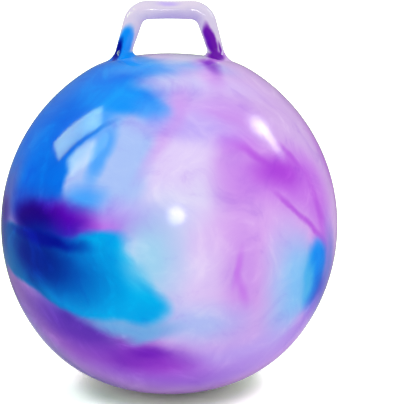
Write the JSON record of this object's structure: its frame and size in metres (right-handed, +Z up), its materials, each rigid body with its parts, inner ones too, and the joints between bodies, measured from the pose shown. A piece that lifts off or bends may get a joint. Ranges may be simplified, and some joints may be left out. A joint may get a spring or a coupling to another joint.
{
  "type": "hopper ball",
  "caption": "Inflated marbled vinyl hopper ball with a moulded hand loop on its crown and a plugged air valve at the back, for a child to sit on and bounce.",
  "frame": {"origin": "centre of the flat patch on which the ball rests, on the ball's axis", "axes": "+Z up along the ball's axis, +X along the grip of the hand loop, +Y towards the side with the valve"},
  "size_m": [0.45, 0.45, 0.5162],
  "materials": {
    "ball_vinyl": "glossy vinyl, marbled in blue, cyan, purple and pale lavender",
    "loop_vinyl": "glossy vinyl, marbled in pale lavender, blue and purple",
    "valve_vinyl": "glossy soft vinyl, milky",
    "plug": "glossy, white"
  },
  "bodies": {
    "ball": {"ball_shell": "ball_vinyl", "hand_loop": "loop_vinyl", "valve_seat": "valve_vinyl"},
    "plug": {"valve_plug": "plug"}
  },
  "joints": [
    {"name": "plug_pull", "type": "slide", "parent": "ball", "child": "plug", "axis": [0, 0.788, 0.6157], "range_m": [0, 0.03]}
  ]
}
